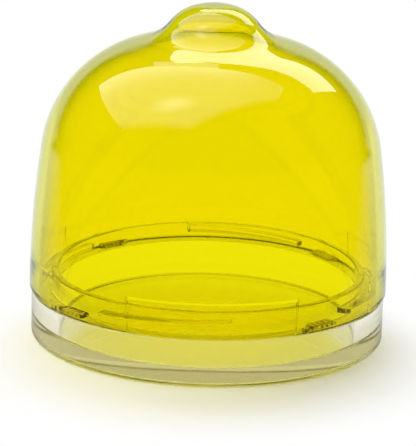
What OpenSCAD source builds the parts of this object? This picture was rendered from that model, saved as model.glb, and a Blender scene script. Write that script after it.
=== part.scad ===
// Lemon keeper: a see-through dome that closes over a clear round base.
// The base stands on z = 0 and the axis of both pieces is the Z axis. Lengths are in millimetres.

/* [Dome] */
// Outer diameter of the dome at its rim
rim_d = 88; // [80:1:110]
// Thickness of the dome wall
wall = 2.2; // [1.8:0.1:3]
// Height of the gently curved side, from the rim to the shoulder
side_h = 36; // [20:1:60]
// Inward lean of the side where it meets the shoulder, in degrees
side_lean = 8.4; // [4:0.2:12]
// Radius of the shoulder
shoulder_r = 30.8; // [24:0.2:33]
// Slope of the crown around the nub, in degrees from upright
crown_slope = 71.4; // [66:0.2:76]
// Radius of the hollow neck below the nub
neck_r = 11.5; // [8:0.5:14]
// Slope at which the neck turns into the nub, in degrees from upright
nub_slope = 37.3; // [30:0.1:44]
// Radius of the nub
nub_r = 11; // [8:0.5:13]
// Radius of the small flat on top of the nub
tip_r = 2.1; // [1.5:0.1:4]
// Chamfer of the outer edge of the rim
rim_chamfer = 0.4; // [0.2:0.1:0.8]

/* [Base] */
// Height of the ledge that the dome stands on
base_h = 11.5; // [8:0.5:20]
// How far the rim of the dome stands out past the base
overhang = 0.5; // [0:0.1:1]
// Thickness of the floor
floor_t = 3; // [2.2:0.1:5]
// Height of the collar above the ledge
collar_h = 5.3; // [5:0.1:9]
// Thickness of the collar
collar_wall = 1.8; // [1.6:0.1:3]
// Rounding of the inner corner between floor and wall
cavity_round = 1; // [0.5:0.1:3]
// Rounding of the outer edges of the base
edge_round = 0.5; // [0.3:0.1:1]
// Rounding of the two edges of the collar top
lip_round = 0.4; // [0.2:0.1:0.7]
// Width of the ring that the base stands on
foot_w = 3.5; // [2:0.5:8]
// Depth of the recess inside that ring
recess = 0.4; // [0.2:0.1:0.8]

/* [Twist lock] */
// Number of lugs on each piece
lug_count = 4; // [2:1:4]
// Room between collar and dome wall
lug_room = 3.2; // [2:0.1:4]
// Clearance between the lugs of one piece and the wall of the other
clear = 0.4; // [0.3:0.05:0.5]
// Angle that one collar lug covers
lug_span = 46.5; // [30:0.5:60]
// Height of a collar lug at its root
lug_h = 1.5; // [1:0.1:1.8]
// Rise of a collar lug from its low end to its high end
lug_rise = 1; // [0.5:0.1:1.4]
// Space between the low end of a collar lug and the ledge
lug_drop = 1.5; // [1.5:0.05:1.9]
// Direction of the low end of the first collar lug, from +X
lug_start = 52; // [0:0.5:90]
// Angle that one dome lug covers
catch_span = 17; // [10:1:25]
// Height of a dome lug
catch_h = 1; // [0.8:0.1:1.1]
// Height of the low end of a dome lug above the rim face
catch_lift = 0.1; // [0.05:0.05:0.2]
// Angle left free between a dome lug and the collar lug beside it
catch_gap = 2.5; // [1:0.5:4]

/* [Rim panels] */
// Angle that one shallow panel inside the rim covers
panel_span = 56.5; // [30:0.5:64]
// Height of the panels above the rim
panel_h = 8.7; // [6:0.1:14]
// Depth of the panels
panel_depth = 0.2; // [0.1:0.05:0.5]

/* [Hidden] */
$fn = 180;
over = 1;
rim_r = rim_d / 2;
dome_in = rim_r - wall;
base_r = rim_r - overhang;
collar_r = dome_in - lug_room;
cavity_r = collar_r - collar_wall;
collar_top = base_h + collar_h;
lug_r = dome_in - clear;
catch_r = collar_r + clear;
pitch_angle = 360 / lug_count;
lug_slope = atan(lug_rise / (2 * lug_r * sin(lug_span / 2)));
catch_rise = 2 * lug_r * sin(catch_span / 2) * tan(lug_slope);
catch_start = lug_start - catch_gap - catch_span;
lug_mid = base_h + lug_drop + (lug_h + lug_rise) / 2;
catch_mid = base_h + catch_lift + (catch_h + catch_rise) / 2;

// The side view of the dome is a chain of arcs that run smoothly into each other.
// Each slope is measured from upright, so the wall faces along dir(slope) there.
// Arcs stand proud by blend, so that neighbours cross instead of only touching.
function dir(a) = [cos(a), sin(a)];
blend = 0.004;
side_r = side_h / sin(side_lean);
side_c = [rim_r - side_r, base_h];
shoulder_c = side_c + (side_r - shoulder_r) * dir(side_lean);
crown_a = shoulder_c + shoulder_r * dir(crown_slope);
nub_x = tip_r + (nub_r + neck_r) * cos(nub_slope) - neck_r * cos(crown_slope);
crown_len = (crown_a[0] - nub_x) / sin(crown_slope);
crown_b = crown_a + crown_len * dir(crown_slope + 90);
neck_c = crown_b + neck_r * dir(crown_slope);
nub_c = neck_c - (neck_r + nub_r) * dir(nub_slope);
dome_top = nub_c[1] + nub_r;

// The piece of a disc that lies outside the chord between two directions
module arc_fill(c, r, a, b) {
    out = dir((a + b) / 2);
    p = c + r * dir(a);
    q = c + r * dir(b);
    intersection() {
        translate(c) circle(r);
        polygon([p, p + r * out, q + r * out, q]);
    }
}

// A sector of a ring whose cross-section is the child, centred on +X and sloping up to the left
module sloped_sector(span, slope) {
    rotate([slope, 0, 0])
        rotate([0, 0, -span / 2])
            rotate_extrude(angle = span) children();
}

// Copies the child once for each lug, the first one at the given direction
module around(start) {
    for (i = [0 : lug_count - 1])
        rotate([0, 0, start + i * pitch_angle]) children();
}

// Half of the dome's side view, filled, with the wall line moved inwards by t
module dome_half(t) {
    difference() {
        union() {
            intersection() {
                translate(side_c) circle(side_r - t);
                translate([0, base_h - over]) square([rim_d, side_h + over]);
            }
            intersection() {
                union() {
                    translate(shoulder_c) circle(shoulder_r - t + blend);
                    translate(nub_c) circle(nub_r - t + blend);
                }
                square([rim_d, dome_top + over]);
            }
            polygon([
                [0, shoulder_c[1]],
                shoulder_c,
                crown_a - t * dir(crown_slope),
                crown_b - t * dir(crown_slope),
                nub_c + (nub_r - t) * dir(nub_slope),
                [tip_r, dome_top - t],
                [0, dome_top - t]
            ]);
        }
        translate(neck_c) circle(neck_r + t + blend);
    }
}

module dome_shell() {
    rotate_extrude() difference() {
        dome_half(0);
        dome_half(wall);
        square([rim_d, base_h]);
        polygon([
            [rim_r - rim_chamfer - over, base_h - over],
            [rim_r + over, base_h - over],
            [rim_r + over, base_h + rim_chamfer + over]
        ]);
    }
}

module rim_panel() {
    rotate([0, 0, -panel_span / 2])
        rotate_extrude(angle = panel_span)
            translate([dome_in - over, base_h - over])
                square([over + panel_depth, panel_h + over]);
}

module dome_lug() {
    translate([0, 0, catch_mid])
        sloped_sector(catch_span, lug_slope)
            translate([catch_r, -catch_h / 2]) square([dome_in + wall / 3 - catch_r, catch_h]);
}

module dome() {
    color([0.95, 0.85, 0.1, 0.6]) {
        difference() {
            dome_shell();
            around(catch_start - catch_gap - panel_span / 2) rim_panel();
        }
        around(catch_start + catch_span / 2) dome_lug();
    }
}

// Half of the base's side view
module base_half() {
    difference() {
        union() {
            polygon([
                [0, 0],
                [base_r - edge_round, 0],
                [base_r, edge_round],
                [base_r, base_h - edge_round],
                [base_r - edge_round, base_h],
                [collar_r, base_h],
                [collar_r, collar_top - lip_round],
                [collar_r - lip_round, collar_top],
                [0, collar_top]
            ]);
            arc_fill([base_r - edge_round, edge_round], edge_round, -90, 0);
            arc_fill([base_r - edge_round, base_h - edge_round], edge_round, 0, 90);
            arc_fill([collar_r - lip_round, collar_top - lip_round], lip_round, 0, 90);
        }
        polygon([
            [0, floor_t],
            [cavity_r - cavity_round, floor_t],
            [cavity_r, floor_t + cavity_round],
            [cavity_r, collar_top - lip_round],
            [cavity_r + lip_round, collar_top],
            [cavity_r + lip_round, collar_top + over],
            [0, collar_top + over]
        ]);
        arc_fill([cavity_r - cavity_round, floor_t + cavity_round], cavity_round, -90, 0);
        translate([0, -over]) square([base_r - foot_w, over + recess]);
    }
    arc_fill([cavity_r + lip_round, collar_top - lip_round], lip_round, 90, 180);
}

module collar_lug() {
    root = collar_r - collar_wall / 3;
    flank = lug_h / 6;
    translate([0, 0, lug_mid])
        sloped_sector(lug_span, lug_slope)
            polygon([
                [root, -lug_h / 2],
                [lug_r, flank - lug_h / 2],
                [lug_r, lug_h / 2 - flank],
                [root, lug_h / 2]
            ]);
}

module base() {
    color([0.9, 0.92, 0.92, 0.5]) {
        rotate_extrude() base_half();
        around(lug_start + lug_span / 2) collar_lug();
    }
}

base();
dome();
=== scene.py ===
# %% [markdown]
# # A lemon keeper in clear and yellow plastic
# The object has two moulded pieces. A yellow see-through dome, shaped like the end of a lemon,
# stands on a clear round base, and a short twist locks the lugs of one under the lugs of the other.
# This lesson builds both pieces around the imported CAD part, then sets them on a white table.

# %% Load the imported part
import math

import bpy
import numpy as np
from mathutils import Matrix, Vector


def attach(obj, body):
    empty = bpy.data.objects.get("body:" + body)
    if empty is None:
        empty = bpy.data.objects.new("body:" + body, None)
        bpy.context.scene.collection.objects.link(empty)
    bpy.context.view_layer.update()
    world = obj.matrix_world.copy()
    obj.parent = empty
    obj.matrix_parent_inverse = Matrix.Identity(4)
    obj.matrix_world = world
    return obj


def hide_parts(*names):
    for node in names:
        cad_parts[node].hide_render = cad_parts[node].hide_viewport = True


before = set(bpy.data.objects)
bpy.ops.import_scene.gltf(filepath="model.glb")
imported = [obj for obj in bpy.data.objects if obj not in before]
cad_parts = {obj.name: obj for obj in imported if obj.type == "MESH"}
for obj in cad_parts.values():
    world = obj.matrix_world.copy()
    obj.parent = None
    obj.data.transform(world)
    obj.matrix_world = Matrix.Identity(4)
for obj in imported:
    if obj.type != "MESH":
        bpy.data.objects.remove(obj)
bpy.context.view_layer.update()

# %% [markdown]
# ## Sizes
# The script can't read the part's source, so the sizes are repeated here, in millimetres.
# Each mesh then lies on its CAD solid, and only small edge roundings are added.
# Angles are in degrees, counted from +X towards +Y as in the source.

# %% Sizes of the dome, the base and the twist lock
MM = 0.001
RIM_R, WALL, RIM_CHAMFER = 44.0, 2.2, 0.4
SIDE_H, SIDE_LEAN, SHOULDER_R = 36.0, 8.4, 30.8
CROWN_SLOPE, NECK_R, NUB_SLOPE, NUB_R, TIP_R = 71.4, 11.5, 37.3, 11.0, 2.1

BASE_H, BASE_R, FLOOR_T, COLLAR_TOP = 11.5, 43.5, 3.0, 16.8
COLLAR_R, CAVITY_R, FOOT_W, RECESS = 38.6, 36.8, 3.5, 0.4
DOME_IN = RIM_R - WALL

LUG_COUNT = 4
LUG_R, LUG_SPAN, LUG_START, LUG_H, LUG_RISE, LUG_DROP = 41.4, 46.5, 52.0, 1.5, 1.0, 1.5
CATCH_R, CATCH_SPAN, CATCH_START, CATCH_H, CATCH_LIFT = 39.0, 17.0, 32.5, 1.0, 0.1
PANEL_SPAN, PANEL_START, PANEL_H, PANEL_DEPTH = 56.5, -26.5, 8.7, 0.2
print("dome rim", 2 * RIM_R, "mm across, base", 2 * BASE_R, "mm across")

# %% [markdown]
# ## Drawing a side view
# Both pieces are turned shapes, so a side view is all that has to be drawn.
# An arc gives the big curves. A corner with a radius gives the small moulded edges, which matter:
# clear plastic shows its edges as bright and dark lines, and a perfectly sharp edge shows nothing.
# Smooth shading blends the directions of neighbouring faces, which would make a long flat wall bend
# light like a weak lens. An extra point near both ends of each long straight keeps the wall flat.


# %% Arcs and rounded corners
def toward(angle):
    """A step of length 1 in that direction of the side view."""
    return np.array([math.cos(math.radians(angle)), math.sin(math.radians(angle))])


def arc(centre, radius, start, end, steps):
    """Points on a circle, from one direction to another."""
    return [centre + radius * toward(a) for a in np.linspace(start, end, steps + 1)]


LONG_STRAIGHT, SUPPORT = 2.0, 0.1


def supported(points, closed):
    """Adds a point near both ends of each long straight, so that smooth shading leaves it flat."""
    line = []
    for i, here in enumerate(points):
        line.append(here)
        if i == len(points) - 1 and not closed:
            break
        step = points[(i + 1) % len(points)] - here
        length = np.linalg.norm(step)
        if length > LONG_STRAIGHT:
            line += [here + step * SUPPORT / length, here + step * (1 - SUPPORT / length)]
    return line


def rounded(corners, closed=False, steps=6):
    """A line through corners (x, z, radius), each corner turned with its radius."""
    points = []
    count = len(corners)
    for i, (x, z, radius) in enumerate(corners):
        here = np.array([x, z], float)
        if radius == 0 or not closed and i in (0, count - 1):
            points.append(here)
            continue
        u = np.array(corners[i - 1][:2], float) - here
        v = np.array(corners[(i + 1) % count][:2], float) - here
        u, v = u / np.linalg.norm(u), v / np.linalg.norm(v)
        half = math.acos(np.clip(u @ v, -1, 1)) / 2
        middle = (u + v) / np.linalg.norm(u + v)
        centre = here + middle * radius / math.sin(half)
        first, last = here + u * radius / math.tan(half), here + v * radius / math.tan(half)
        for t in np.linspace(0, 1, steps + 1):
            spoke = (1 - t) * (first - centre) + t * (last - centre)
            points.append(centre + spoke * radius / np.linalg.norm(spoke))
    return supported(points, closed)


print("a corner of 90 degrees has", len(rounded([(0, 0, 0), (1, 0, 0.2), (1, 1, 0)])) - 2, "points")

# %% [markdown]
# ## The lathe
# A turned piece could be spun with bmesh or a Screw modifier. Geometry Nodes show the rule better:
# a flat grid has one row for each point of the side view and one column for each step round the axis.
# Every grid point looks up its row in the side view, then turns about Z by its column's angle.
# Merging closes the seam and the poles, and edges sharper than 30 degrees are marked sharp.


# %% Small helpers for node trees
def node(tree, kind, settings=None, **inputs):
    """Adds a node; an input is a plain value or another node's output."""
    made = tree.nodes.new(kind)
    for name, value in (settings or {}).items():
        setattr(made, name, value)
    for name, value in inputs.items():
        socket = made.inputs[int(name[1:])] if name[1:].isdigit() else made.inputs[name.replace("_", " ")]
        if isinstance(value, bpy.types.NodeSocket):
            tree.links.new(value, socket)
        else:
            socket.default_value = value
    return made


def combine(tree, operation, a, b):
    """One step of arithmetic on two values."""
    return node(tree, "ShaderNodeMath", {"operation": operation}, _0=a, _1=b).outputs[0]


def whole_number(tree, operation, a, b):
    """The same with whole numbers, as for rows and columns."""
    return node(tree, "FunctionNodeIntegerMath", {"operation": operation}, _0=a, _1=b).outputs[0]


def new_tree(name, inputs):
    """An empty Geometry Nodes tree with the named inputs and one geometry output."""
    tree = bpy.data.node_groups.new(name, "GeometryNodeTree")
    for label, kind in inputs:
        tree.interface.new_socket(label, in_out="INPUT", socket_type="NodeSocket" + kind)
    tree.interface.new_socket("Geometry", in_out="OUTPUT", socket_type="NodeSocketGeometry")
    return tree, tree.nodes.new("NodeGroupInput").outputs


SHARP_ANGLE = 30


def finish_tree(tree, geometry, material):
    """Smooth faces, sharp edges, the material, and the output."""
    whole = node(tree, "GeometryNodeRealizeInstances", Geometry=geometry).outputs[0]
    smooth = node(tree, "GeometryNodeSetShadeSmooth", {"domain": "FACE"}, Geometry=whole)
    angle = node(tree, "GeometryNodeInputMeshEdgeAngle").outputs["Unsigned Angle"]
    sharp = combine(tree, "GREATER_THAN", angle, math.radians(SHARP_ANGLE))
    edged = node(tree, "GeometryNodeSetShadeSmooth", {"domain": "EDGE"}, Geometry=smooth.outputs[0])
    tree.links.new(sharp, edged.inputs["Selection"])
    edged.inputs["Shade Smooth"].default_value = False
    dressed = node(tree, "GeometryNodeSetMaterial", Geometry=edged.outputs[0], Material=material)
    out = tree.nodes.new("NodeGroupOutput")
    tree.links.new(dressed.outputs[0], out.inputs[0])


# %% The lathe tree
def lathe_tree():
    inputs = [("Side View", "Geometry"), ("Segments", "Int"), ("Material", "Material")]
    tree, given = new_tree("lathe", inputs)
    counted = node(tree, "GeometryNodeAttributeDomainSize", Geometry=given["Side View"])
    rows = counted.outputs["Point Count"]
    columns = whole_number(tree, "ADD", given["Segments"], 1)
    grid = node(tree, "GeometryNodeMeshGrid", Vertices_X=columns, Vertices_Y=rows).outputs["Mesh"]
    index = node(tree, "GeometryNodeInputIndex").outputs[0]
    row = whole_number(tree, "MODULO", index, rows)
    column = whole_number(tree, "DIVIDE_FLOOR", index, rows)
    place = node(tree, "GeometryNodeInputPosition").outputs[0]
    point = node(tree, "GeometryNodeSampleIndex", {"data_type": "FLOAT_VECTOR"}, Index=row)
    tree.links.new(given["Side View"], point.inputs["Geometry"])
    tree.links.new(place, point.inputs["Value"])
    step = combine(tree, "DIVIDE", math.tau, given["Segments"])
    angle = combine(tree, "MULTIPLY", column, step)
    about_z = {"rotation_type": "Z_AXIS"}
    turned = node(tree, "ShaderNodeVectorRotate", about_z, Vector=point.outputs[0], Angle=angle)
    shape = node(tree, "GeometryNodeSetPosition", Geometry=grid, Position=turned.outputs[0]).outputs[0]
    closed = node(tree, "GeometryNodeMergeByDistance", Geometry=shape, Distance=1e-6).outputs[0]
    finish_tree(tree, closed, given["Material"])
    return tree


LATHE = lathe_tree()
print("lathe tree:", len(LATHE.nodes), "nodes")

# %% [markdown]
# ## Running a tree
# A tree works as a modifier. Its inputs are set by the sockets' identifiers before the first evaluation.
# The result is then kept as a plain mesh, so the finished piece carries no modifier.


# %% From modifier to plain mesh
def mesh_object(name, points, edges=(), faces=()):
    """A new mesh in the scene, from its points."""
    mesh = bpy.data.meshes.new(name)
    mesh.from_pydata([tuple(float(c) for c in p) for p in points], edges, faces)
    made = bpy.data.objects.new(name, mesh)
    bpy.context.scene.collection.objects.link(made)
    return made


def run_tree(source, tree, name, **values):
    """Puts the tree on source, keeps what it makes as a plain mesh object, and removes source."""
    modifier = source.modifiers.new(tree.name, "NODES")
    modifier.node_group = tree
    for item in tree.interface.items_tree:
        label = item.name.replace(" ", "_")
        if item.in_out == "INPUT" and label in values:
            modifier[item.identifier] = values[label]
    bpy.context.view_layer.update()
    graph = bpy.context.evaluated_depsgraph_get()
    mesh = bpy.data.meshes.new_from_object(source.evaluated_get(graph), depsgraph=graph)
    mesh.name = name
    mesh.materials.clear()
    mesh.materials.append(values["Material"])
    mesh.polygons.foreach_set("material_index", [0] * len(mesh.polygons))
    made = bpy.data.objects.new(name, mesh)
    bpy.context.scene.collection.objects.link(made)
    bpy.data.objects.remove(source)
    return made


def turn(name, line, material, segments=240):
    """Turns a side view, given in millimetres, into a solid."""
    points = [(x * MM, 0, z * MM) for x, z in line]
    edges = [(i, i + 1) for i in range(len(points) - 1)]
    side_view = mesh_object(name + ".line", points, edges)
    return run_tree(side_view, LATHE, name, Segments=segments, Material=material)


def measure(piece):
    """Volume in cubic millimetres and number of triangles."""
    mesh = piece.data
    mesh.calc_loop_triangles()
    corners = np.array([v.co for v in mesh.vertices])[[t.vertices[:] for t in mesh.loop_triangles]]
    volume = np.einsum("ij,ij->i", corners[:, 0], np.cross(corners[:, 1], corners[:, 2])).sum() / 6
    return f"{piece.name}: {volume * 1e9:.0f} cubic mm, {len(corners)} triangles"


print("tools ready")

# %% [markdown]
# ## Moulded plastic
# Both pieces are glossy see-through plastic. Principled BSDF with full transmission bends light like it.
# Absorption in the volume makes long paths through the wall deeper in colour, as at the rim.
# A faint bump stands for the slow waves that cooling leaves in a moulded wall, and the roughness
# wanders a little, like a surface that has been wiped. Plain numbers sit on the shader's own sockets.
# Cycles would give such a piece a black shadow, so a lamp's ray goes straight through, with a tint.


# %% A see-through plastic
def smooth_step(tree, value, low, high):
    """0 up to low, 1 from high on and a soft step between; high may also be the smaller of the two."""
    made = node(tree, "ShaderNodeMapRange", {"interpolation_type": "SMOOTHSTEP"}, Value=value)
    made.inputs["From Min"].default_value = low
    made.inputs["From Max"].default_value = high
    return made.outputs[0]


def see_through(name, colour, shade, absorb, density):
    """A glossy plastic: its colour, the tint of its shadow, and what its thickness swallows."""
    material = bpy.data.materials.new(name)
    material.use_nodes = True
    tree = material.node_tree
    tree.nodes.clear()
    place = node(tree, "ShaderNodeTexCoord").outputs["Object"]
    waves = node(tree, "ShaderNodeTexNoise", Vector=place, Scale=70.0, Detail=1.0).outputs["Fac"]
    bump = node(tree, "ShaderNodeBump", Strength=0.1, Distance=0.0001, Height=waves).outputs[0]
    wiped = node(tree, "ShaderNodeTexNoise", Vector=place, Scale=240.0, Detail=3.0).outputs["Fac"]
    gloss = node(tree, "ShaderNodeMapRange", Value=wiped, To_Min=0.01, To_Max=0.04).outputs[0]
    plastic = node(tree, "ShaderNodeBsdfPrincipled", Base_Color=(*colour, 1), Roughness=gloss, Normal=bump)
    plastic.inputs["IOR"].default_value = 1.5
    plastic.inputs["Transmission Weight"].default_value = 1.0
    lamp_ray = node(tree, "ShaderNodeLightPath").outputs["Is Shadow Ray"]
    through = node(tree, "ShaderNodeBsdfTransparent", Color=(*shade, 1)).outputs[0]
    both = node(tree, "ShaderNodeMixShader", _0=lamp_ray, _1=plastic.outputs[0], _2=through).outputs[0]
    body = node(tree, "ShaderNodeVolumeAbsorption", Color=(*absorb, 1), Density=density).outputs[0]
    node(tree, "ShaderNodeOutputMaterial", Surface=both, Volume=body)
    return material


YELLOW, YELLOW_SHADE = (1.0, 0.89, 0.003), (0.97, 0.93, 0.55)
CLEAR, CLEAR_SHADE = (1.0, 1.0, 0.99), (0.99, 0.99, 0.98)
yellow_plastic = see_through("dome_yellow", YELLOW, YELLOW_SHADE, absorb=(0.33, 0.6, 0.1), density=30.0)
clear_plastic = see_through("base_clear", CLEAR, CLEAR_SHADE, absorb=(0.726, 0.663, 0.057), density=17.5)
print("materials:", yellow_plastic.name, clear_plastic.name)

# %% [markdown]
# ## Deeper yellow at the edges
# A coloured wall looks deeper and greener where it is seen at a shallow angle, because the light has
# a longer way through it. Absorption alone shows little of this in a wall that bends the light so much.
# Layer Weight tells how shallow the angle is, and the colour that the light takes on follows it.

# %% Yellow at a shallow angle
YELLOW_EDGE = (0.42, 0.47, 0.003)
tree = yellow_plastic.node_tree
facing = node(tree, "ShaderNodeLayerWeight", Blend=0.5).outputs["Facing"]
shallow = smooth_step(tree, facing, 0.55, 0.85)
tint = node(tree, "ShaderNodeMix", {"data_type": "RGBA"}, _0=shallow, _6=(*YELLOW, 1), _7=(*YELLOW_EDGE, 1))
tree.links.new(tint.outputs[2], tree.nodes["Principled BSDF"].inputs["Base Color"])
print("edge tint", YELLOW_EDGE)

# %% [markdown]
# ## The dome
# The side view of the dome is a chain of arcs that run smoothly into each other: a gently curved side,
# a round shoulder, a short slope, a hollow neck and the nub. The inner line has the same centres,
# so the wall is equally thick everywhere. The line goes down the inside and up the outside,
# because the lathe then turns the faces outwards. The rim ends a hair above the ledge: where two
# see-through faces lie in one plane, a renderer can't tell which comes first.

# %% Centres of the dome's arcs
side_r = SIDE_H / math.sin(math.radians(SIDE_LEAN))
side_c = np.array([RIM_R - side_r, BASE_H])
shoulder_c = side_c + (side_r - SHOULDER_R) * toward(SIDE_LEAN)
crown_a = shoulder_c + SHOULDER_R * toward(CROWN_SLOPE)
nub_x = TIP_R + (NUB_R + NECK_R) * toward(NUB_SLOPE)[0] - NECK_R * toward(CROWN_SLOPE)[0]
crown_b = crown_a + (crown_a[0] - nub_x) / toward(CROWN_SLOPE)[1] * toward(CROWN_SLOPE + 90)
neck_c = crown_b + NECK_R * toward(CROWN_SLOPE)
nub_c = neck_c - (NECK_R + NUB_R) * toward(NUB_SLOPE)
print("top of the nub at", round(nub_c[1] + NUB_R, 2), "mm")


# %% Side view of the dome
SIDE_FROM, RIM_GAP = 0.12, 0.05


def wall_line(depth):
    """The wall from rim to axis, that deep below the outer face."""
    line = arc(side_c, side_r - depth, SIDE_FROM, SIDE_LEAN, 26)
    line += arc(shoulder_c, SHOULDER_R - depth, SIDE_LEAN, CROWN_SLOPE, 44)[1:]
    line += list(np.linspace(crown_a, crown_b, 5)[1:] - depth * toward(CROWN_SLOPE))
    line += arc(neck_c, NECK_R + depth, CROWN_SLOPE + 180, NUB_SLOPE + 180, 24)[1:]
    line += arc(nub_c, NUB_R - depth, NUB_SLOPE, 90, 26)[1:]
    return line + [np.array([0, nub_c[1] + NUB_R - depth])]


inside, outside = wall_line(WALL), wall_line(0)
rim = rounded(
    [
        (*inside[0], 0),
        (DOME_IN, BASE_H + RIM_GAP, 0.2),
        (RIM_R - RIM_CHAMFER, BASE_H + RIM_GAP, 0.15),
        (RIM_R, BASE_H + RIM_CHAMFER, 0.1),
        (*outside[0], 0),
    ]
)
dome_line = inside[:0:-1] + rim + outside[1:]
dome = turn("dome_shell", dome_line, yellow_plastic)
print(measure(dome))

# %% [markdown]
# ## The base
# The base is a thick clear dish. Its side carries the rim of the dome on a ledge, a collar stands up
# inside the dome, and the underside is hollowed slightly so that only a ring touches the table.

# %% Side view of the base
EDGE_ROUND, LIP_ROUND, FLOOR_ROUND, FINE_ROUND = 0.5, 0.4, 1.0, 0.15
base_line = rounded(
    [
        (0, RECESS, 0),
        (BASE_R - FOOT_W, RECESS, FINE_ROUND),
        (BASE_R - FOOT_W, 0, FINE_ROUND),
        (BASE_R, 0, EDGE_ROUND),
        (BASE_R, BASE_H, EDGE_ROUND),
        (COLLAR_R, BASE_H, FINE_ROUND),
        (COLLAR_R, COLLAR_TOP, LIP_ROUND),
        (CAVITY_R, COLLAR_TOP, LIP_ROUND),
        (CAVITY_R, FLOOR_T, FLOOR_ROUND),
        (0, FLOOR_T, 0),
    ]
)
base = turn("base_dish", base_line, clear_plastic)
print(measure(base))

# %% [markdown]
# ## A lug
# Each lug is a short piece of a ring that climbs a little, like one turn of a very coarse thread.
# It is drawn as a cross-section and carried along an arc. Over a short run at both ends the section
# drops back along a soft wave, which rounds the ends. The whole lug is then tipped by its slope.


# %% A piece of a ring with rounded ends
def ring_piece(name, section, span, radius, tip=0.0, lift=0.0, start=0.0, drop=0.6, run=1.2):
    """Carries section(inset) along an arc of span degrees; start is the direction of the first end."""
    ramp = [(t, (1 + math.cos(math.pi * t)) / 2) for t in np.linspace(0, 1, 7)]
    reach = math.radians(span) / 2
    stops = [(-reach + run * t / radius, drop * share) for t, share in ramp]
    stops += [(a, 0.0) for a in np.linspace(stops[-1][0], -stops[-1][0], 2 + int(span / 1.5))[1:-1]]
    stops += [(-a, inset) for a, inset in stops[6::-1]]
    loops = [[(x * math.cos(a), x * math.sin(a), z) for x, z in section(inset)] for a, inset in stops]
    size = len(loops[0])
    faces = [tuple(range(size)), tuple(reversed(range(len(loops) * size - size, len(loops) * size)))]
    for k in range(len(loops) - 1):
        for i in range(size):
            j = (i + 1) % size
            faces.append((k * size + i, (k + 1) * size + i, (k + 1) * size + j, k * size + j))
    piece = mesh_object(name, [p for loop in loops for p in loop], faces=faces)
    turn_to = Matrix.Rotation(math.radians(start + span / 2), 4, "Z")
    tipped = Matrix.Translation((0, 0, lift)) @ Matrix.Rotation(tip, 4, "X")
    piece.data.transform(Matrix.Scale(MM, 4) @ turn_to @ tipped)
    return piece


LUG_TIP = math.atan(LUG_RISE / (2 * LUG_R * math.sin(math.radians(LUG_SPAN / 2))))
print("lugs climb at", round(math.degrees(LUG_TIP), 2), "degrees")

# %% [markdown]
# ## Lugs and panels round the ring
# Four lugs stand on the collar, four hang in the rim of the dome, and the rim also has four shallow
# panels between its lugs. They repeat by a rule, so a tree places them: one copy for each point,
# turned by its share of a full circle. A boolean then joins them to the piece or cuts them out.
# Joining matters in clear plastic, because a face buried in another would show through it.


# %% A tree that repeats a tool round the axis
def ring_tree(name, operation):
    tree, given = new_tree(
        name, [("Tool", "Geometry"), ("Body", "Object"), ("Count", "Int"), ("Material", "Material")]
    )
    points = node(tree, "GeometryNodePoints", Count=given["Count"]).outputs[0]
    index = node(tree, "GeometryNodeInputIndex").outputs[0]
    angle = combine(tree, "MULTIPLY", index, combine(tree, "DIVIDE", math.tau, given["Count"]))
    turned = node(tree, "FunctionNodeAxisAngleToRotation", Axis=(0, 0, 1), Angle=angle).outputs[0]
    copies = node(tree, "GeometryNodeInstanceOnPoints", Points=points, Instance=given["Tool"])
    tree.links.new(turned, copies.inputs["Rotation"])
    tools = node(tree, "GeometryNodeRealizeInstances", Geometry=copies.outputs[0]).outputs[0]
    body = node(tree, "GeometryNodeObjectInfo", Object=given["Body"]).outputs["Geometry"]
    joined = node(tree, "GeometryNodeMeshBoolean", {"operation": operation, "solver": "MANIFOLD"})
    tree.links.new(body, joined.inputs["Mesh 1" if operation == "DIFFERENCE" else "Mesh 2"])
    tree.links.new(tools, joined.inputs["Mesh 2"])
    finish_tree(tree, joined.outputs["Mesh"], given["Material"])
    return tree


JOIN_RING = ring_tree("join_ring", "UNION")
CUT_RING = ring_tree("cut_ring", "DIFFERENCE")


def with_ring(body, tool, tree, name):
    """The body with the tool joined or cut all round; both helpers are removed."""
    made = run_tree(tool, tree, name, Body=body, Count=LUG_COUNT, Material=body.data.materials[0])
    bpy.data.objects.remove(body)
    return made


print("ring trees:", JOIN_RING.name, CUT_RING.name)

# %% [markdown]
# ## Lugs on the collar
# The lugs of the base stand out from its collar. In a mould each one is a groove in the steel.
# Here the section is drawn once, carried along its arc and joined to the base four times.

# %% Collar lugs
LUG_ROOT = 0.6


def collar_section(inset):
    """The section narrows outwards, as a moulded lug does, and its root reaches into the collar."""
    root, reach, half, edge = COLLAR_R - LUG_ROOT, LUG_R - inset, LUG_H / 2, LUG_H / 3
    corners = [(root, -half, 0), (reach, -edge, FINE_ROUND), (reach, edge, FINE_ROUND), (root, half, 0)]
    return rounded(corners, closed=True, steps=4)


lug_mid = BASE_H + LUG_DROP + (LUG_H + LUG_RISE) / 2
lug = ring_piece("collar_lug", collar_section, LUG_SPAN, LUG_R, LUG_TIP, lug_mid, LUG_START)
base = with_ring(base, lug, JOIN_RING, "clear_base")
print(measure(base))

# %% [markdown]
# ## Panels in the rim
# Inside the rim the wall is a little thinner in four places, and the ends of these panels show as
# faint upright lines. Each is a thin slice that is cut from the wall and fades out at its top.

# %% Rim panels
PANEL_FADE, PANEL_ROUND = 0.7, 1.2


def panel_section(inset):
    """The panel fades out at its top, and the tool reaches a little past the wall and the rim."""
    low, high, near = BASE_H - 1, BASE_H + PANEL_H, DOME_IN - 1
    deep = DOME_IN + PANEL_DEPTH - inset
    corners = [(near, low, 0), (deep, low, 0), (deep, high - PANEL_FADE, PANEL_ROUND), (DOME_IN, high, 0)]
    return rounded(corners + [(near, high, 0)], closed=True, steps=4)


panel = ring_piece("rim_panel", panel_section, PANEL_SPAN, DOME_IN, start=PANEL_START, drop=0.19, run=1.0)
dome = with_ring(dome, panel, CUT_RING, "dome_with_panels")
print(measure(dome))

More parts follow.
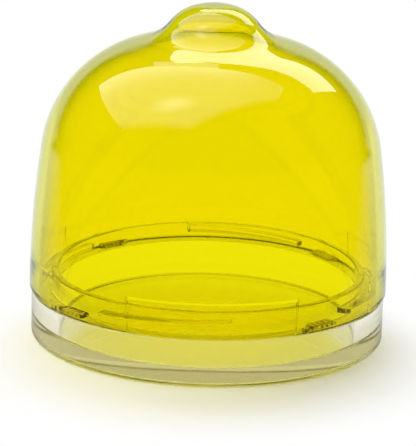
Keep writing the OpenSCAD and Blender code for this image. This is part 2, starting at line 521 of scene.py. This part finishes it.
# %% [markdown]
# ## Lugs in the rim
# The lugs of the dome go down between those of the collar and slide under them when the dome turns.
# They are joined after the panels are cut, so that no cut reaches them.

# %% Dome lugs
CATCH_ROUND = 0.35


def catch_section(inset):
    """The section of a dome lug, with its root in the wall."""
    half, root, reach = CATCH_H / 2, DOME_IN + WALL / 3, CATCH_R + inset
    corners = [(reach, -half, CATCH_ROUND), (root, -half, 0), (root, half, 0), (reach, half, CATCH_ROUND)]
    return rounded(corners, closed=True, steps=4)


catch_rise = 2 * LUG_R * math.sin(math.radians(CATCH_SPAN / 2)) * math.tan(LUG_TIP)
catch_mid = BASE_H + CATCH_LIFT + (CATCH_H + catch_rise) / 2
catch = ring_piece(
    "dome_lug", catch_section, CATCH_SPAN, CATCH_R, LUG_TIP, catch_mid, CATCH_START, drop=1.8, run=3.0
)
dome = with_ring(dome, catch, JOIN_RING, "yellow_dome")
print(measure(dome))

# %% [markdown]
# ## Riding on the bodies
# The base stands still and the dome lifts off, so each piece rides on its own body.
# Each stands for its CAD node, whose solid is hidden but kept.

# %% Hand the pieces to the frame
for piece, body, solid, finish in (
    (base, "base", "base", "clear_plastic"),
    (dome, "lid", "dome", "yellow_plastic"),
):
    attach(piece, body)
    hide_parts(solid)
    print(piece.name, "rides on", body)

# %% [markdown]
# ## The white table
# The object stands on a plain white table. Near it, the lamps light the table and it keeps the shadow.
# Further away it turns into plain white, for the camera and for what is seen through the plastic.
# In mirror images it is white only near the backdrop behind the object and dark elsewhere, because
# the camera's side of a studio is dark. That keeps the yellow deep and makes the dome's edges pale.


# %% Helpers for places and rays
def absolute(tree, value):
    return node(tree, "ShaderNodeMath", {"operation": "ABSOLUTE"}, _0=value).outputs[0]


def distance_from(tree, place, point):
    between = node(tree, "ShaderNodeVectorMath", {"operation": "DISTANCE"}, _0=place, _1=point)
    return between.outputs["Value"]


def straight_behind(tree, parts):
    """1 on the backdrop, which is wide at the table and narrow at its top, and 0 beside it."""
    sideways = combine(tree, "DIVIDE", absolute(tree, parts["X"]), parts["Y"])
    reach = combine(tree, "ADD", combine(tree, "MULTIPLY", sideways, 0.45), parts["Z"])
    lane = smooth_step(tree, reach, 0.58, 0.42)
    return combine(tree, "MULTIPLY", lane, combine(tree, "GREATER_THAN", parts["Y"], 0.1))


def kinds_of_ray(tree):
    """Light Path's outputs, and 1 for a ray that comes from the camera without meeting the table."""
    ray = node(tree, "ShaderNodeLightPath").outputs
    return ray, combine(tree, "LESS_THAN", ray["Diffuse Depth"], 0.5)


print("helpers for places and rays ready")

# %% A round table and the places on it
TABLE_R, TABLE_STEPS, TABLE_Z = 3.0, 96, -0.0001
SHADE_MIDDLE, SHADE_FROM, SHADE_TO = (0.0, -0.018, 0.0), 0.034, 0.064
angles = np.linspace(0, math.tau, TABLE_STEPS, endpoint=False)
ring = [(TABLE_R * math.cos(a), TABLE_R * math.sin(a), TABLE_Z) for a in angles]
table = mesh_object("table", ring, faces=[tuple(range(TABLE_STEPS))])
table_white = bpy.data.materials.new("table_white")
table_white.use_nodes = True
tree = table_white.node_tree
tree.nodes.clear()
place = node(tree, "ShaderNodeTexCoord").outputs["Object"]
parts = node(tree, "ShaderNodeSeparateXYZ", Vector=place).outputs
distance = distance_from(tree, place, SHADE_MIDDLE)
far = smooth_step(tree, distance, SHADE_FROM, SHADE_TO)
wedge = combine(tree, "SUBTRACT", parts["Y"], combine(tree, "MULTIPLY", absolute(tree, parts["X"]), 0.6))
near = smooth_step(tree, distance, 0.8, 0.3)
behind = combine(tree, "MULTIPLY", smooth_step(tree, wedge, -0.11, 0.04), near)
behind = combine(tree, "MAXIMUM", behind, straight_behind(tree, parts))
print("table", 2 * TABLE_R, "m across")

# %% What each kind of ray finds on the table
ray, first = kinds_of_ray(tree)
first_through = combine(tree, "MULTIPLY", ray["Is Transmission Ray"], first)
seen = combine(tree, "MAXIMUM", ray["Is Camera Ray"], first_through)
white_share = combine(tree, "MULTIPLY", far, combine(tree, "MAXIMUM", seen, ray["Is Reflection Ray"]))
lit = node(tree, "ShaderNodeBsdfDiffuse", Color=(0.95, 0.95, 0.95, 1)).outputs[0]
white = node(tree, "ShaderNodeEmission", Strength=1.0).outputs[0]
surface = node(tree, "ShaderNodeMixShader", _0=white_share, _1=lit, _2=white).outputs[0]
dim = node(tree, "ShaderNodeEmission", Strength=0.01).outputs[0]
front_mirror = combine(tree, "MULTIPLY", ray["Is Reflection Ray"], combine(tree, "SUBTRACT", 1.0, behind))
shown = node(tree, "ShaderNodeMixShader", _0=front_mirror, _1=surface, _2=dim).outputs[0]
node(tree, "ShaderNodeOutputMaterial", Surface=shown)
table.data.materials.append(table_white)
print("table material:", len(tree.nodes), "nodes")

# %% [markdown]
# ## The room
# The world is the rest of the studio. The camera finds plain white there, and so does what is seen
# through the plastic, except high up on the camera's side. Mirror rays find the white backdrop behind
# the object and a dark room elsewhere. The table gets an even fill, and more of it through the plastic.
# Light Path counts a ray from the table as a reflection too, so those are taken off the mirror rays.


# %% The room in each direction
def choose(tree, share, a, b):
    """a where share is 0 and b where it is 1."""
    return node(tree, "ShaderNodeMix", Factor=share, _2=a, _3=b).outputs[0]


FILL, FILL_THROUGH, DARK_ROOM = 0.22, 1.8, 0.01
world = bpy.data.worlds.new("studio")
bpy.context.scene.world = world
world.use_nodes = True
tree = world.node_tree
tree.nodes.clear()
way = node(tree, "ShaderNodeTexCoord").outputs["Generated"]
parts = node(tree, "ShaderNodeSeparateXYZ", Vector=way).outputs
half_behind = smooth_step(tree, parts["Y"], -0.3, 0.3)
low = smooth_step(tree, parts["Z"], 0.3, 0.12)
white_side = combine(tree, "MAXIMUM", half_behind, low)
through = combine(tree, "ADD", combine(tree, "MULTIPLY", white_side, 0.75), 0.25)
mirror = combine(tree, "MAXIMUM", straight_behind(tree, parts), DARK_ROOM)
print("dark room", DARK_ROOM)

# %% What each kind of ray finds in the room
ray, first = kinds_of_ray(tree)
mirrored = combine(tree, "SUBTRACT", ray["Is Reflection Ray"], ray["Is Diffuse Ray"])
level = choose(tree, first, FILL_THROUGH, through)
level = choose(tree, ray["Is Transmission Ray"], FILL, level)
level = choose(tree, mirrored, level, mirror)
level = choose(tree, ray["Is Camera Ray"], level, 1.0)
light = node(tree, "ShaderNodeBackground", Strength=level).outputs[0]
node(tree, "ShaderNodeOutputWorld", Surface=light)
print("fill", FILL, "and through the plastic", FILL_THROUGH)

# %% [markdown]
# ## Four softboxes
# The mirror images on the shoulder and the nub tell where the lamps stood. A large softbox hangs
# overhead, lower on the left. A small one behind it lights the neck, and a narrow one stands behind
# on the right. A wide lamp above all lights the table and shows in no mirror image.
# Each is set by its centre and its two edges. Area lamps show in mirror images by themselves, but
# rays that have gone through plastic don't see them, so no stray images lie in the thick base.


# %% Lamps
def softbox(name, centre, along, across, power):
    """A flat lamp from its centre and its two edges, which shines towards the object."""
    lamp = bpy.data.lights.new(name, "AREA")
    lamp.shape = "RECTANGLE"
    lamp.energy = power
    along, across, centre = Vector(along), Vector(across), Vector(centre)
    lamp.size, lamp.size_y = along.length, across.length
    x = along.normalized()
    z = x.cross(across).normalized()
    if z.dot(centre) < 0:
        z = -z
    y = z.cross(x)
    made = bpy.data.objects.new(name, lamp)
    made.matrix_world = Matrix.Translation(centre) @ Matrix((x, y, z)).transposed().to_4x4()
    made.visible_camera = False
    made.visible_transmission = False
    bpy.context.scene.collection.objects.link(made)
    return made


overhead = softbox(
    "overhead_softbox", (0.034, -0.015, 0.622), (0.94, -0.055, 0.522), (0.012, -0.702, -0.054), power=4.4
)
softbox("crown_softbox", (-0.085, 0.393, 0.590), (0.207, -0.012, 0.115), (0.002, -0.1, -0.008), power=0.1)
softbox("back_softbox", (0.103, 0.486, 0.543), (0.554, -0.358, -0.36), (-0.024, 0.124, -0.159), power=1.6)
table_lamp = softbox("table_softbox", (0.0, 0.0, 0.8), (1.2, 0.0, 0.0), (0.0, -1.2, 0.0), power=1.0)
table_lamp.visible_glossy = False

# %% [markdown]
# ## An uneven softbox
# A real softbox isn't even: it is brightest near its bulb and fades towards the edges.
# Geometry's Parametric output runs over the lamp from 0 to 1, to the right and to the back.

# %% Uneven light of the overhead softbox
BULB, BULB_REACH, BULB_LIGHT = (0.29, 0.36, 0.0), 0.13, 1.5
overhead.data.use_nodes = True
tree = overhead.data.node_tree
spot = node(tree, "ShaderNodeNewGeometry").outputs["Parametric"]
parts = node(tree, "ShaderNodeSeparateXYZ", Vector=spot).outputs
right_side = smooth_step(tree, parts["X"], 0.4, 0.9)
even = combine(tree, "SUBTRACT", 0.85, combine(tree, "MULTIPLY", right_side, 0.4))
off_bulb = absolute(tree, combine(tree, "SUBTRACT", parts["X"], 0.33))
slant = combine(tree, "SUBTRACT", parts["Y"], combine(tree, "MULTIPLY", off_bulb, 0.9))
cloth = combine(tree, "MULTIPLY", even, smooth_step(tree, slant, -0.05, 0.12))
left_side = combine(tree, "SUBTRACT", 0.7, right_side)
back_glow = combine(tree, "MULTIPLY", smooth_step(tree, parts["Y"], 0.6, 1.0), left_side)
bulb_share = smooth_step(tree, distance_from(tree, spot, BULB), BULB_REACH, 0.0)
bulb_glow = combine(tree, "MULTIPLY", bulb_share, BULB_LIGHT)
strength = combine(tree, "ADD", cloth, combine(tree, "MAXIMUM", back_glow, bulb_glow))
tree.links.new(strength, tree.nodes["Emission"].inputs["Strength"])
print("overhead softbox:", len(tree.nodes), "nodes")

# %% [markdown]
# ## The camera
# The photograph was taken from a little above with a long lens. The camera's place, turn and lens
# are those at which the outlines of the rim, the base and the dome fall on the photograph's.
# Light bounces to and fro inside clear plastic, and a ray that is cut short there leaves a black
# spot, so the limits on bounces are raised.

# %% Camera
camera_data = bpy.data.cameras.new("camera")
camera_data.sensor_width = 36.0
camera_data.lens = 210.26
camera = bpy.data.objects.new("camera", camera_data)
eye, target, roll = Vector((0.0, -0.615475, 0.2052)), Vector((-0.000334, 0.0, 0.027353)), 0.0265577
look = (target - eye).to_track_quat("-Z", "Y").to_matrix().to_4x4()
camera.matrix_world = Matrix.Translation(eye) @ look @ Matrix.Rotation(roll, 4, "Z")
bpy.context.scene.collection.objects.link(camera)
bpy.context.scene.camera = camera
bpy.context.scene.view_settings.view_transform = "Standard"
paths = bpy.context.scene.cycles
paths.max_bounces, paths.glossy_bounces, paths.transmission_bounces = 40, 24, 40
print("camera", round((target - eye).length, 3), "m from its target")
